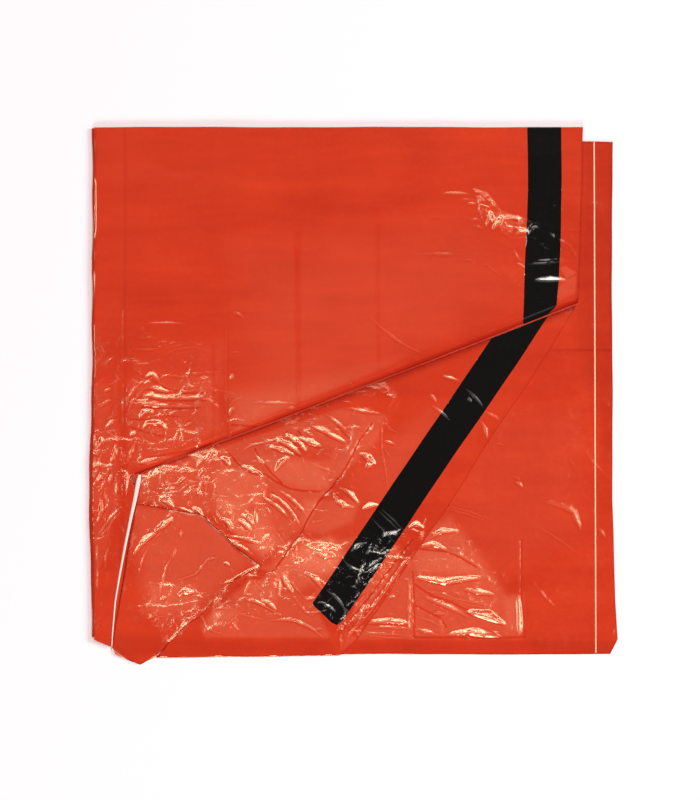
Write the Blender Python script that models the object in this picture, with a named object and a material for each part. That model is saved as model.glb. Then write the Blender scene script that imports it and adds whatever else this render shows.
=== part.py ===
# Emergency sleeping bag: a lay-flat tube of thin film, welded shut at the foot and open at the mouth.
# It lies folded once across its middle, with the mouth half on top of the foot half.
# The mouth half's lower corner is swung inwards, which makes a tuck with a lip, and a small flap at the left.
#
# Outlines are drawn in the pack's own plane: x runs from the centre fold to the foot edge,
# y runs from the tail side fold to the head side fold. The part is then centred on its box.
import math

import bmesh
import bpy
from mathutils import Vector

# The bag
LAY_FLAT_WIDTH = 0.912
FOOT_HALF_LENGTH = 0.900
MOUTH_HALF_LENGTH = 0.848
FILM = 0.0005
CLEARANCE = 0.0003

# The foot half's outline departs a little from a rectangle
FOOT_EDGE_FLARE = 0.0086
HEAD_SIDE_DROP = 0.024
TAIL_SIDE_RISE = 0.030
TAIL_RISE_RUN = 0.150
CORNER_CHAMFER = 0.026
WELD_INSET = 0.033
WELD_WIDTH = 0.003
WELD_HEIGHT = 0.0004

# The marking band round the mouth
BAND_WIDTH = 0.060
BAND_INSET = 0.036
BAND_THICKNESS = 0.0003
CORNER_BAND_LENGTH = 0.683

# The tuck: the mouth's corner turns about a pivot on the mouth edge
PIVOT_HEIGHT = 0.608
PIVOT_SETBACK = 0.008
CORNER_SWING = math.radians(34.1)
LIP_SLOPE = math.radians(21.2)
LIP_LENGTH = 0.812
TUCK_START = 0.100
HIDDEN_BAND_END = 0.006

# The flap at the left of the tuck, and the crease that it turns on
CREASE_FOOT = (0.0345, 0.014)
STRIP_TAIL_RISE = 0.026
FLAP_TOP = (0.076, 0.268)
FLAP_POINT = (0.304, 0.147)
FLAP_TAIL = (0.112, 0.000)
FLAP_TIP = (0.083, -0.017)
FLAP_HEEL = (0.043, 0.000)
FLAP_CLEARANCE = 0.001

# The centre fold's line, in from the pack's left side, and its height above the ground
FOLD_INSET = 0.004
FOLD_HEIGHT = 0.0046

ROLL_STEPS = 8
ROUND_BELOW = math.radians(40)
AXIS_MARK = 0.05

# Finishes
FILM_COLOUR = (0.68, 0.05, 0.02)
INNER_COLOUR = (0.62, 0.06, 0.03)
CREASE_COLOUR = (0.90, 0.62, 0.60)
WELD_COLOUR = (0.90, 0.45, 0.25)
BAND_COLOUR = (0.010, 0.009, 0.009)
FILM_ROUGHNESS = 0.25
BAND_ROUGHNESS = 0.18

# Heights of the layers, from the ground up
PAIR = 2 * FILM + CLEARANCE
FOOT_OVER_Z = FILM + CLEARANCE
WELD_Z = PAIR + CLEARANCE
CORNER_BAND_UNDER_Z = PAIR + CLEARANCE
CORNER_INNER_Z = CORNER_BAND_UNDER_Z + BAND_THICKNESS + CLEARANCE
CORNER_OUTER_Z = CORNER_INNER_Z + FILM + CLEARANCE
CORNER_BAND_Z = CORNER_INNER_Z + PAIR + CLEARANCE
UPPER_LEAF_Z = CORNER_INNER_Z + PAIR + CLEARANCE
FLAP_OUTER_Z = UPPER_LEAF_Z + FILM + CLEARANCE
MOUTH_INNER_Z = UPPER_LEAF_Z + PAIR + CLEARANCE
MOUTH_OUTER_Z = MOUTH_INNER_Z + FILM + CLEARANCE
MOUTH_BAND_UNDER_Z = MOUTH_INNER_Z - CLEARANCE - BAND_THICKNESS
MOUTH_BAND_Z = MOUTH_OUTER_Z + FILM + CLEARANCE
MOUTH_TOP_Z = MOUTH_OUTER_Z + FILM
TURN_HEIGHT = MOUTH_TOP_Z + CLEARANCE / 2

# A roll joins two films that lie one above the other; it is as tall as they are together
SIDE_ROLL = PAIR / 2
TUCK_ROLL = PAIR + CLEARANCE / 2
SIDE_EDGE = SIDE_ROLL + CLEARANCE


def line(start, end, shift=0.0):
    """The line from start to end, moved to its left by shift, as a point and a direction."""
    start = Vector(start)
    along = (Vector(end) - start).normalized()
    left = Vector((-along.y, along.x))
    return start + left * shift, along


def crossing(first, second):
    """The point where two lines cross."""
    (p, d), (q, e) = first, second
    turn = d.x * e.y - d.y * e.x
    reach = ((q.x - p.x) * e.y - (q.y - p.y) * e.x) / turn
    return p + d * reach


def corners(lines):
    """The outline whose sides are these lines in turn."""
    return [crossing(lines[i - 1], lines[i]) for i in range(len(lines))]


# Points and lines of the folded pack
pivot = Vector((MOUTH_HALF_LENGTH - PIVOT_SETBACK, PIVOT_HEIGHT))
lip_direction = Vector((-math.cos(LIP_SLOPE), -math.sin(LIP_SLOPE)))
lip_end = pivot + lip_direction * LIP_LENGTH
corner_direction = Vector((-math.sin(CORNER_SWING), -math.cos(CORNER_SWING)))
tuck_slope = LIP_SLOPE - CORNER_SWING / 2
tuck_direction = Vector((-math.cos(tuck_slope), -math.sin(tuck_slope)))


def lip_line(shift):
    """The lip, shift further out over the swung corner."""
    return line(pivot, lip_end, shift)


def crease_line(shift):
    """The flap's crease, shift further out over the flap."""
    return line(lip_end, CREASE_FOOT, shift)


def corner_edge(shift):
    """The swung corner's mouth edge, shift in from the edge."""
    return line(pivot, pivot + corner_direction, -shift)


def tail_side(inset):
    return line((0, inset), (1, inset))


def head_side(inset):
    return line((1, LAY_FLAT_WIDTH - inset), (0, LAY_FLAT_WIDTH - inset))


def across(distance):
    """A line straight across the bag, at a distance from the centre fold."""
    return line((distance, 0), (distance, 1))


film_start = FOLD_INSET + CLEARANCE
foot_tail_left = Vector((film_start, TAIL_SIDE_RISE))
foot_tail_bend = Vector((TAIL_RISE_RUN, SIDE_EDGE))
foot_tail_right = Vector((FOOT_HALF_LENGTH + FOOT_EDGE_FLARE - CORNER_CHAMFER / 2, SIDE_EDGE))
foot_right_low = Vector((FOOT_HALF_LENGTH + FOOT_EDGE_FLARE, CORNER_CHAMFER))
foot_right_high = Vector((FOOT_HALF_LENGTH, LAY_FLAT_WIDTH - HEAD_SIDE_DROP))
foot_head_left = Vector((film_start, LAY_FLAT_WIDTH - SIDE_EDGE))
foot_outline = [
    foot_tail_left,
    foot_tail_bend,
    foot_tail_right,
    foot_right_low,
    foot_right_high,
    foot_head_left,
]

mouth_outline = [
    Vector((film_start, STRIP_TAIL_RISE)),
    Vector(CREASE_FOOT),
    lip_end,
    pivot,
    Vector((MOUTH_HALF_LENGTH, LAY_FLAT_WIDTH - SIDE_EDGE)),
    Vector((film_start, LAY_FLAT_WIDTH - SIDE_EDGE)),
]

# The corner's hinge runs just outside the lip's roll, and the flap's just outside the crease's
lip_turn = TUCK_ROLL + CLEARANCE
crease_turn = SIDE_ROLL + CLEARANCE
corner_start = lip_turn + CLEARANCE
flap_start = crease_turn + CLEARANCE

corner_outline = corners(
    [
        lip_line(corner_start),
        crease_line(flap_start),
        line(FLAP_TOP, FLAP_POINT, FLAP_CLEARANCE),
        line(FLAP_POINT, FLAP_TAIL, FLAP_CLEARANCE),
        tail_side(SIDE_EDGE),
        corner_edge(0),
    ]
)
flap_outline = corners(
    [
        crease_line(flap_start),
        line(CREASE_FOOT, FLAP_HEEL),
        line(FLAP_HEEL, FLAP_TIP),
        line(FLAP_TIP, FLAP_TAIL),
        line(FLAP_TAIL, FLAP_POINT),
        line(FLAP_POINT, FLAP_TOP),
    ]
)

band_outer_edge = MOUTH_HALF_LENGTH - BAND_INSET
band_inner_edge = band_outer_edge - BAND_WIDTH
band_outline = corners(
    [
        lip_line(0),
        across(band_outer_edge),
        head_side(SIDE_EDGE),
        across(band_inner_edge),
    ]
)
band_end = line(
    pivot + corner_direction * CORNER_BAND_LENGTH,
    pivot + corner_direction * CORNER_BAND_LENGTH + Vector((-corner_direction.y, corner_direction.x)),
)
corner_band_outline = corners(
    [
        lip_line(corner_start),
        corner_edge(BAND_INSET + BAND_WIDTH),
        band_end,
        corner_edge(BAND_INSET),
    ]
)

# The tuck's two leaves lie under the lip, between it and their own fold, clear of the hidden band
tuck_right = band_inner_edge - HIDDEN_BAND_END
tuck_outline = corners(
    [
        lip_line(-CLEARANCE),
        across(tuck_right),
        line(pivot, pivot + tuck_direction),
        across(TUCK_START),
    ]
)

everything = foot_outline + mouth_outline + corner_outline + flap_outline
low_x = min(p.x for p in everything)
high_x = max(p.x for p in everything)
low_y = min(p.y for p in everything)
high_y = LAY_FLAT_WIDTH
centre = Vector(((low_x + high_x) / 2, (low_y + high_y) / 2))


def placed(point, height):
    """A point of the pack's plane, in the part's frame."""
    return Vector((point.x - centre.x, point.y - centre.y, height))


def clear_scene():
    for thing in list(bpy.data.objects):
        bpy.data.objects.remove(thing, do_unlink=True)


def plastic(name, colour, roughness):
    material = bpy.data.materials.new(name)
    material.use_nodes = True
    shader = material.node_tree.nodes["Principled BSDF"]
    shader.inputs["Base Color"].default_value = (*colour, 1.0)
    shader.inputs["Roughness"].default_value = roughness
    shader.inputs["Metallic"].default_value = 0.0
    return material


def axis_at(name, point, height):
    """An empty on a fold's axis, which carries the pieces that turn on it."""
    empty = bpy.data.objects.new(name, None)
    empty.empty_display_size = AXIS_MARK
    empty.location = placed(point, height)
    bpy.context.collection.objects.link(empty)
    return empty


def finished(name, shape, axis, colour, roughness):
    """A named object of this shape, hung on its axis."""
    bmesh.ops.recalc_face_normals(shape, faces=shape.faces)
    origin = Vector(axis.location) if axis else Vector((0, 0, 0))
    bmesh.ops.translate(shape, vec=-origin, verts=shape.verts)
    mesh = bpy.data.meshes.new(name)
    shape.to_mesh(mesh)
    shape.free()
    mesh.materials.append(plastic(name + "_plastic", colour, roughness))
    piece = bpy.data.objects.new(name, mesh)
    piece.parent = axis
    bpy.context.collection.objects.link(piece)
    return piece


def film(name, outline, bottom, thickness, axis, colour=FILM_COLOUR, roughness=FILM_ROUGHNESS):
    """A flat piece of film, band or leaf with this outline, from bottom upwards."""
    shape = bmesh.new()
    face = shape.faces.new([shape.verts.new(placed(p, bottom)) for p in outline])
    raised = bmesh.ops.extrude_face_region(shape, geom=[face])
    top = [v for v in raised["geom"] if isinstance(v, bmesh.types.BMVert)]
    bmesh.ops.translate(shape, vec=(0, 0, thickness), verts=top)
    return finished(name, shape, axis, colour, roughness)


def roll(name, start, end, bottom, radius, axis, colour=FILM_COLOUR, roughness=FILM_ROUGHNESS):
    """A half-round fold along start to end, bulging to the right of that way, where film turns over."""
    along = (end - start).normalized()
    out = Vector((along.y, -along.x))
    shape = bmesh.new()
    section = []
    for step in range(ROLL_STEPS + 1):
        angle = math.pi * (step / ROLL_STEPS - 0.5)
        point = start + out * (CLEARANCE + radius * math.cos(angle))
        section.append(shape.verts.new(placed(point, bottom + radius + radius * math.sin(angle))))
    face = shape.faces.new(section)
    drawn = bmesh.ops.extrude_face_region(shape, geom=[face])
    far = [v for v in drawn["geom"] if isinstance(v, bmesh.types.BMVert)]
    bmesh.ops.translate(shape, vec=(*(end - start), 0), verts=far)
    piece = finished(name, shape, axis, colour, roughness)
    piece.data.shade_smooth()
    piece.data.set_sharp_from_angle(angle=ROUND_BELOW)
    return piece


clear_scene()

# The foot half lies on the ground
film("foot_under_film", foot_outline, 0, FILM, None, INNER_COLOUR)
film("foot_over_film", foot_outline, FOOT_OVER_Z, FILM, None)
roll("foot_tail_side_fold", foot_tail_bend, foot_tail_right, 0, SIDE_ROLL, None)
roll("foot_head_side_fold", foot_right_high, foot_head_left, 0, SIDE_ROLL, None)
weld_outline = corners(
    [
        tail_side(SIDE_EDGE),
        line(foot_right_low, foot_right_high, WELD_INSET - WELD_WIDTH / 2),
        line(foot_right_high, foot_head_left),
        line(foot_right_low, foot_right_high, WELD_INSET + WELD_WIDTH / 2),
    ]
)
film("foot_weld", weld_outline, WELD_Z, WELD_HEIGHT, None, WELD_COLOUR)

# The mouth half turns on the centre fold
centre_fold = axis_at("centre_fold_axis", Vector((FOLD_INSET, LAY_FLAT_WIDTH / 2)), FOLD_HEIGHT)
film("mouth_inner_film", mouth_outline, MOUTH_INNER_Z, FILM, centre_fold, INNER_COLOUR)
film("mouth_outer_film", mouth_outline, MOUTH_OUTER_Z, FILM, centre_fold)
roll(
    "mouth_side_fold",
    Vector((MOUTH_HALF_LENGTH, LAY_FLAT_WIDTH - SIDE_EDGE)),
    Vector((film_start, LAY_FLAT_WIDTH - SIDE_EDGE)),
    MOUTH_INNER_Z,
    SIDE_ROLL,
    centre_fold,
)
film(
    "mouth_band_outer",
    band_outline,
    MOUTH_BAND_Z,
    BAND_THICKNESS,
    centre_fold,
    BAND_COLOUR,
    BAND_ROUGHNESS,
)
film(
    "mouth_band_inner",
    band_outline,
    MOUTH_BAND_UNDER_Z,
    BAND_THICKNESS,
    centre_fold,
    BAND_COLOUR,
    BAND_ROUGHNESS,
)
film("tuck_lower_leaf", tuck_outline, CORNER_INNER_Z, PAIR, centre_fold, INNER_COLOUR)
film("tuck_upper_leaf", tuck_outline, UPPER_LEAF_Z, PAIR, centre_fold, INNER_COLOUR)
roll(
    "tuck_fold",
    tuck_outline[2],
    tuck_outline[3],
    CORNER_INNER_Z,
    TUCK_ROLL,
    centre_fold,
    INNER_COLOUR,
)
roll("lip_fold", lip_end, pivot, UPPER_LEAF_Z, TUCK_ROLL, centre_fold)
roll(
    "crease_fold",
    Vector(CREASE_FOOT),
    crossing(crease_line(0), lip_line(lip_turn)),
    MOUTH_INNER_Z,
    SIDE_ROLL,
    centre_fold,
    CREASE_COLOUR,
)

# The swung corner turns up on the lip
lip_turn_line = lip_line(lip_turn)
corner_fold = axis_at(
    "corner_fold_axis", lip_turn_line[0] + lip_turn_line[1] * LIP_LENGTH / 2, TURN_HEIGHT
)
film("corner_inner_film", corner_outline, CORNER_INNER_Z, FILM, corner_fold, INNER_COLOUR)
film("corner_outer_film", corner_outline, CORNER_OUTER_Z, FILM, corner_fold)
roll(
    "corner_side_fold",
    corner_outline[4],
    corner_outline[5],
    CORNER_INNER_Z,
    SIDE_ROLL,
    corner_fold,
)
film(
    "corner_band_outer",
    corner_band_outline,
    CORNER_BAND_Z,
    BAND_THICKNESS,
    corner_fold,
    BAND_COLOUR,
    BAND_ROUGHNESS,
)
film(
    "corner_band_inner",
    corner_band_outline,
    CORNER_BAND_UNDER_Z,
    BAND_THICKNESS,
    corner_fold,
    BAND_COLOUR,
    BAND_ROUGHNESS,
)

# The flap turns up on the crease
crease_turn_line = crease_line(crease_turn)
flap_fold = axis_at("flap_fold_axis", crease_turn_line[0], TURN_HEIGHT)
film("flap_inner_film", flap_outline, UPPER_LEAF_Z, FILM, flap_fold, INNER_COLOUR)
film("flap_outer_film", flap_outline, FLAP_OUTER_Z, FILM, flap_fold)
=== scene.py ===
# Emergency sleeping bag of thin glossy film, folded once, with one corner of its mouth swung in.
# Places on the film are written as they are read off the photograph: across and down, in its pixels.
import math

import bmesh
import bpy
import numpy as np
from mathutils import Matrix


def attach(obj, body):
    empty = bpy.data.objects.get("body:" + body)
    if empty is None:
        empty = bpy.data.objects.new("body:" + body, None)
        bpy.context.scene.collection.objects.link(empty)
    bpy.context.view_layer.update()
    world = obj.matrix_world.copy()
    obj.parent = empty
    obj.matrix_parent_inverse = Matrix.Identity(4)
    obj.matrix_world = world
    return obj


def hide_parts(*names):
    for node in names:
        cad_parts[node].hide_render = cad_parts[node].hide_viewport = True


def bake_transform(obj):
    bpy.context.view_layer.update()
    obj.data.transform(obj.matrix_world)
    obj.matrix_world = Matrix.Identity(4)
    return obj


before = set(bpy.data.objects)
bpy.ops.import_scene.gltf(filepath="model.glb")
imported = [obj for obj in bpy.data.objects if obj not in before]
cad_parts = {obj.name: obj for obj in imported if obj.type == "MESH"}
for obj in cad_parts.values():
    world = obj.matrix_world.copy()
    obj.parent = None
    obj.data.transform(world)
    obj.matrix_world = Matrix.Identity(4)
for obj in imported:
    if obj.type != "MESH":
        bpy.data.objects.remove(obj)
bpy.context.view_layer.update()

MM = 0.001
# Metres to a pixel, and the pixel and the point that the places are measured from
PIXEL = 0.0017275
FOLD_ACROSS, TAIL_DOWN = 92, 655
PACK_CENTRE = np.array((0.45645, 0.4475))

# A pleat's crest is rounded, and its gentle side faces the lamps
CREST = 0.7 * MM
FACING = np.array((0.5, 0.85))
# The slope at which an eye above the pack's middle sees a lamp, and its change for each metre from there
RING_SLOPE, VIEW_SLANT = 0.21, 0.123

# The lowest that a film lies, and the gap between a hidden film and the one that covers it
LOWEST = 0.1 * MM
FILM_GAP = 0.35 * MM
# A film's border is darkened with painted shade, and a turn's shading stops just inside it
BORDER_SHADE, BORDER_WIDTH = 0.55, 2.2 * MM
TURN_GUARD = 0.3 * MM
TURN_OVERRUN = 0.02
# The bend that counts as a sharp fold
SHARP_BEND = 400.0

# Waves along the borders: the size in millimetres, the rate across and up the pack, and the phase
ASIDE_WAVES = (0.45, 0, 19, 1.3), (0.2, 17, 53, 0)
ALONG_WAVES = (0.4, 17, 0, 0.4), (0.2, 47, -13, 0)
# The centre fold swells outwards by so many millimetres at one place
SWELL_PLACE, SWELL_REACH, SWELL_SIZE = (94, 500), (0.05, 0.16), 2.6


def path(*places):
    """Places in the photograph as points on the ground, in metres. They come in pairs or one by one."""
    across, down = np.reshape(places, (-1, 2)).T
    return np.column_stack(((across - FOLD_ACROSS) * PIXEL, (TAIL_DOWN - down) * PIXEL)) - PACK_CENTRE


def at(across, down):
    return path(across, down)[0]


def smooth(x):
    """A soft step from nought to one."""
    x = np.clip(x, 0.0, 1.0)
    return x * x * (3 - 2 * x)


def outward(start, end):
    """The direction away from an outline's side. Outlines run anticlockwise, seen from above."""
    along = (end - start) / np.linalg.norm(end - start)
    return np.array((along[1], -along[0]))


def widened(outline, margins):
    """The outline with each side moved outwards by its own margin."""
    sides = []
    for i, margin in enumerate(margins):
        start, end = outline[i], outline[(i + 1) % len(outline)]
        shift = outward(start, end) * margin
        sides.append((start + shift, end - start))
    points = []
    for i in range(len(sides)):
        (p, d), (q, e) = sides[i - 1], sides[i]
        reach = ((q[0] - p[0]) * e[1] - (q[1] - p[1]) * e[0]) / (d[0] * e[1] - d[1] * e[0])
        points.append(p + d * reach)
    return np.array(points)


def sides_of(outline):
    """The start and end of each side."""
    return list(zip(outline, np.roll(outline, -1, axis=0)))


def depth(points, outline):
    """How far each point lies inside an outline, and below nought outside it."""
    nearest = np.full(len(points), np.inf)
    inside = np.zeros(len(points), bool)
    for start, end in sides_of(outline):
        along = end - start
        away = points - start
        reach = np.clip(away @ along / (along @ along), 0, 1)
        nearest = np.minimum(nearest, np.linalg.norm(away - reach[:, None] * along, axis=1))
        if start[1] != end[1]:
            crossed = (start[1] > points[:, 1]) != (end[1] > points[:, 1])
            side = start[0] + (points[:, 1] - start[1]) / (end[1] - start[1]) * along[0]
            inside ^= crossed & (points[:, 0] < side)
    return np.where(inside, nearest, -nearest)


# A facet's corners take their heights from a table of this size, on a grid skewed into triangles
FACET_TABLE, TRIANGLE_SKEW = 61, 0.366


class Relief:
    """The heights of a film's points and the light and shade painted on them, built up from dips, facets,
    pleats and creases.
    """

    def __init__(self, points, level):
        self.points = points
        self.base = np.full(len(points), level * MM)
        self.raised = np.zeros(len(points))
        self.crush = np.zeros(len(points))
        # Painted shade, and painted light where it is below nought
        self.shade = np.zeros(len(points))

    @property
    def height(self):
        return self.base + self.raised

    def beside(self, line, reach):
        """The points near a line: which they are, how far off, on which side and how far along."""
        low, high = line.min(axis=0) - reach, line.max(axis=0) + reach
        near = np.flatnonzero(((self.points > low) & (self.points < high)).all(axis=1))
        points = self.points[near]
        gap = np.full(len(near), np.inf)
        side, run = np.ones(len(near)), np.zeros(len(near))
        done = 0.0
        for start, end in zip(line[:-1], line[1:]):
            along = end - start
            length = np.linalg.norm(along)
            away = points - start
            share = np.clip(away @ along / length**2, 0, 1)
            off = np.linalg.norm(away - share[:, None] * along, axis=1)
            closer = off < gap
            gap = np.where(closer, off, gap)
            left = away @ np.array((-along[1], along[0])) > 0
            side = np.where(closer, np.where(left, 1.0, -1.0), side)
            run = np.where(closer, done + share * length, run)
            done += length
        return near, gap, side, run / done

    def tent(self, places, across, slope, bow, back, ends):
        """A sharp crest, with one gentle side that lies on the line of places, and one steep side.

        Across is the gentle side's width in pixels. It faces the lamps, or away from them where across is
        below nought. Slope is its slope at the crest: at one, an eye straight above sees a lamp in it.
        """
        reach = abs(across) * PIXEL
        line = path(*places)
        right = outward(line[0], line[-1])
        turn = np.sign(right @ FACING) * np.sign(across)
        slope *= RING_SLOPE - VIEW_SLANT * (line.mean(axis=0) @ right) * turn
        near, gap, side, share = self.beside(line - right * turn * reach / 2, 1.1 * reach)
        gap = np.sqrt(gap**2 + CREST**2) - CREST
        taper = np.clip(np.minimum(share, 1 - share) / ends, 0, 1) ** 0.8
        width = reach * (0.2 + 0.8 * taper)
        top = slope * width / bow * np.minimum(1, 3 * taper)
        lit = side == -turn
        fall = np.clip(1 - gap / np.where(lit, width, back * width), 0, 1)
        return near, top * fall ** np.where(lit, bow, 1.3)

    def pleats(self, across, *lines, slope=1.25, bow=1.5, back=0.28, ends=0.5):
        for places in lines:
            near, height = self.tent(places, across, slope, bow, back, ends)
            self.raised[near] = np.maximum(self.raised[near], height)

    def glints(self, groups, back=0.28, ends=0.5):
        """Pleats with a flat side, which shines all over, in groups by their width in pixels."""
        for across, lines in groups.items():
            self.pleats(across, *lines, slope=1.12, bow=1.12, back=back, ends=ends)

    def dips(self, *dips):
        """Soft falls towards lines. Each has its line, its depth and its reach, both in millimetres."""
        for places, deep, reach in dips:
            near, gap, _, _ = self.beside(path(*places), 6 * reach * MM)
            self.base[near] -= deep * MM * np.exp(-gap / (reach * MM))

    def crumple(self, outline, count, length, across, turn, spread, seed, slope=1.15):
        """Pleats strewn over an area, most of them lying along one direction."""
        rng = np.random.default_rng(seed)
        area = path(*outline)
        outline = np.reshape(outline, (-1, 2))
        low, high = outline.min(axis=0), outline.max(axis=0)
        made = 0
        while made < count:
            centre = rng.uniform(low, high)
            angle = math.radians(-turn + rng.normal() * spread)
            half = length * rng.uniform(0.4, 1.4) / 2
            bend = rng.normal() * 0.15 * half
            size = across * rng.uniform(0.5, 1.5) * (1 if rng.random() < 0.8 else -1)
            if depth(at(*centre)[None], area)[0] <= 0:
                continue
            along = np.array((math.cos(angle), math.sin(angle)))
            aside = np.array((-along[1], along[0]))
            places = [centre - along * half, centre + aside * bend, centre + along * half]
            self.pleats(size, places, slope=slope)
            made += 1

    def crumples(self, areas):
        for area in areas:
            self.crumple(*area)

    def facets(self, mask, size, height, turn, seed):
        """Flat-sided relief, as in film that has been crushed and laid out again."""
        angle = math.radians(turn)
        spin = np.array(((math.cos(angle), -math.sin(angle)), (math.sin(angle), math.cos(angle))))
        rng = np.random.default_rng(seed)
        table = rng.random((FACET_TABLE, FACET_TABLE))
        place = self.points @ spin / (size * MM)
        place = place + 0.45 * np.sin(place[:, ::-1] * 1.7 + rng.uniform(0, 6, 2))
        skewed = place + place.sum(axis=1, keepdims=True) * TRIANGLE_SKEW
        cell = np.floor(skewed).astype(int)
        part = skewed - cell

        def corner(i, j):
            return table[(cell[:, 0] + i) % FACET_TABLE, (cell[:, 1] + j) % FACET_TABLE]

        a, b = part.T
        lower = (1 - a) * corner(0, 0) + (a - b) * corner(1, 0) + b * corner(1, 1)
        upper = (1 - b) * corner(0, 0) + (b - a) * corner(0, 1) + a * corner(1, 1)
        self.base += height * MM * mask * (np.where(a > b, lower, upper) - 0.5)

    def swell(self, size, height, seed, mask=1.0):
        """Long low waves."""
        rng = np.random.default_rng(seed)
        for _ in range(5):
            angle = rng.uniform(0, 2 * math.pi)
            wave = 2 * math.pi / (size * MM * rng.uniform(0.7, 1.5))
            along = self.points @ np.array((math.cos(angle), math.sin(angle)))
            self.base += height * MM / 5 * mask * np.sin(along * wave + rng.uniform(0, 6))

    def within(self, places, blur):
        """One inside an area and nought outside, over a blur in millimetres."""
        return smooth(depth(self.points, path(*places)) / (blur * MM) + 0.5)

    def crushed(self, everywhere, patches):
        """Sets how crushed the film is, everywhere and in patches, and gives each patch's mask."""
        masks = {name: self.within(places, blur) for name, (_, blur, places) in patches.items()}
        self.crush = everywhere
        for name, (amount, _, _) in patches.items():
            self.crush = self.crush + amount * masks[name]
        return masks

    def paint_light_and_shade(self, groups):
        """Paints shade on areas, or light where the amount is below nought. Groups go by amount and blur."""
        for (amount, blur), areas in groups.items():
            for places in areas:
                self.shade += amount * self.within(places, blur)

    def shadow_line(self, places, amount, reach):
        """Paints shade along a soft line, which reaches so many millimetres to each side."""
        near, gap, _, _ = self.beside(path(*places), 3 * reach * MM)
        soft = np.exp(-(gap / (reach * MM)) ** 2)
        self.shade[near] += amount * soft
        return near, soft

    def shadows(self, groups, sunk=0.0):
        """Soft lines of painted shade, in groups by amount and reach, which are sunk by a share of their
        reach.
        """
        for (amount, reach), lines in groups.items():
            for places in lines:
                near, soft = self.shadow_line(places, amount, reach)
                self.base[near] -= sunk * reach * MM * soft

    # Creases: lines of painted shade, each sunk by a fifth of its reach
    def creases(self, groups):
        self.shadows(groups, sunk=0.2)


# How many parts the edges in a finer area are cut into, and how many cells from a crease its cuts reach
FINER_PARTS, CUT_REACH = 3, 1.8


def grid_of_film(name, outline, cell, finer=(), creases=()):
    """A flat grid cut to an outline, with smaller faces in the finer areas and edges along the creases."""
    low, high = outline.min(axis=0) - cell, outline.max(axis=0) + cell
    size, middle = high - low, (high + low) / 2
    bpy.ops.object.select_all(action="DESELECT")
    bpy.ops.mesh.primitive_grid_add(
        x_subdivisions=round(size[0] / cell), y_subdivisions=round(size[1] / cell), size=1,
        location=(*middle, 0))
    sheet = bpy.context.object
    sheet.name = sheet.data.name = name
    sheet.scale = (size[0], size[1], 1)
    bpy.ops.object.transform_apply(location=True, rotation=False, scale=True)
    mesh = bmesh.new()
    mesh.from_mesh(sheet.data)

    def middles():
        return np.array([face.calc_center_median()[:2] for face in mesh.faces])

    if len(finer):
        places = middles()
        chosen = np.zeros(len(places), bool)
        for area in finer:
            chosen |= depth(places, area) > 0
        edges = {edge for face, use in zip(mesh.faces, chosen) if use for edge in face.edges}
        bmesh.ops.subdivide_edges(mesh, edges=list(edges), cuts=FINER_PARTS - 1, use_grid_fill=True)
    for start, end in sides_of(outline) + list(creases):
        places = np.array([point.co[:2] for point in mesh.verts])
        along = end - start
        away = places - start
        share = np.clip(away @ along / (along @ along), 0, 1)
        close = np.linalg.norm(away - share[:, None] * along, axis=1) < CUT_REACH * cell
        points = {point for point, use in zip(mesh.verts, close) if use}
        edges = {edge for point in points for edge in point.link_edges}
        faces = {face for point in points for face in point.link_faces}
        points |= {point for face in faces for point in face.verts}
        bmesh.ops.bisect_plane(
            mesh, geom=[*points, *edges, *faces], dist=1e-6,
            plane_co=(*start, 0), plane_no=(*outward(start, end), 0))
    outside = depth(middles(), outline) < 0
    bmesh.ops.delete(
        mesh, geom=[face for face, out in zip(mesh.faces, outside) if out], context="FACES")
    for face in mesh.faces:
        face.smooth = True
    mesh.to_mesh(sheet.data)
    mesh.free()
    return sheet


def plan_of(sheet):
    """Where a flat sheet's points lie."""
    flat = np.zeros(len(sheet.data.vertices) * 3)
    sheet.data.vertices.foreach_get("co", flat)
    return flat.reshape(-1, 3)[:, :2]


def turned(points, turns):
    """Film turned under along its edges: where it goes, where its height is read, and its drop.

    Each turn is the edge's start and end, and its radius in metres. The film's outermost place is the edge.
    """
    placed, read, drop = points.copy(), points.copy(), np.zeros(len(points))
    for start, end, radius in turns:
        away = outward(start, end)
        off = (points - start) @ away
        along = (points - start) @ (end - start) / ((end - start) @ (end - start))
        beside = (along > -TURN_OVERRUN) & (along < 1 + TURN_OVERRUN)
        off = np.where(beside, off, -1.0)
        angle = np.clip((off + radius) / radius, 0, math.pi)
        back = np.maximum(off + radius - math.pi * radius, 0)
        moved = np.where(off > -radius, radius * np.sin(angle) - radius - back, off)
        placed += (moved - off)[:, None] * away
        read += np.minimum(-radius - off, 0)[:, None] * away
        drop += radius * (1 - np.cos(angle))
    return placed, read, drop


def ripple(points, waves):
    x, y = points.T
    return sum(size * np.sin(across * x + up * y + phase) for size, across, up, phase in waves)


def sway(points):
    """How far a film's border strays from its straight outline. Neighbouring films stray together."""
    left = np.exp(-(((points - at(*SWELL_PLACE)) / SWELL_REACH) ** 2).sum(axis=1))
    aside = ripple(points, ASIDE_WAVES) - SWELL_SIZE * left
    return np.column_stack((aside, ripple(points, ALONG_WAVES))) * MM


def turn_rows(start, end, radius, steps=8):
    """Creases along an edge that is turned under, so that the turn is round.

    One more lies just inside it, so that the turn's shading stops there.
    """
    away = outward(start, end)
    shifts = [-radius - TURN_GUARD] + [radius * (math.pi * k / steps - 1) for k in range(steps + 1)]
    return [(start + away * shift, end + away * shift) for shift in shifts]


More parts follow.
